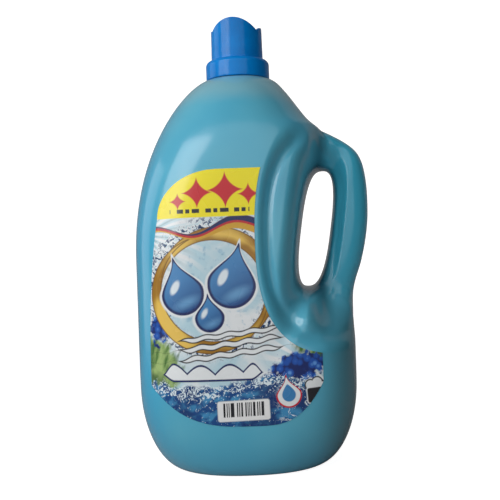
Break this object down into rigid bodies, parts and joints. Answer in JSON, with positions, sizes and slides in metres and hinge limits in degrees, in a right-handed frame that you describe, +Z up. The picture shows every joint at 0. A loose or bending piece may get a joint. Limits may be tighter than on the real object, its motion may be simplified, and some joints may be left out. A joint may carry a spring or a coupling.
{
  "type": "fabric softener bottle",
  "caption": "Large blown bottle with a moulded side handle, a screw-on dosing cap with a wavy crown, a pouring insert, a front label and its liquid.",
  "frame": {"origin": "on the plane that the bottle stands on, under the axis of its neck", "axes": "+Z up along the neck's axis, the label faces -Y, the handle is on the +X side"},
  "size_m": [0.1878, 0.1506, 0.3577],
  "materials": {
    "bottle": "satin translucent blown polyethylene",
    "softener": "milky liquid",
    "label": "glossy printed film",
    "insert": "natural polyethylene",
    "foam": "foamed polyethylene",
    "cap": "glossy moulded polypropylene"
  },
  "bodies": {
    "bottle_body": {"bottle": "bottle", "softener_fill": "softener", "front_label": "label", "pouring_insert": "insert"},
    "seal_body": {"sealing_ring": "foam"},
    "cap_body": {"dosing_cap": "cap"}
  },
  "joints": [
    {"name": "cap_lift", "type": "slide", "parent": "bottle_body", "child": "seal_body", "axis": [0, 0, 1], "range_m": [0, 0.0305]},
    {"name": "cap_turn", "type": "hinge", "parent": "seal_body", "child": "cap_body", "pos_m": [0, 0, 0.31], "axis": [0, 0, 1], "range_deg": [0, 1200]}
  ],
  "couplings": [
    {"joint": "cap_lift", "follows": "cap_turn", "m_per_rad": 0.0014324}
  ]
}
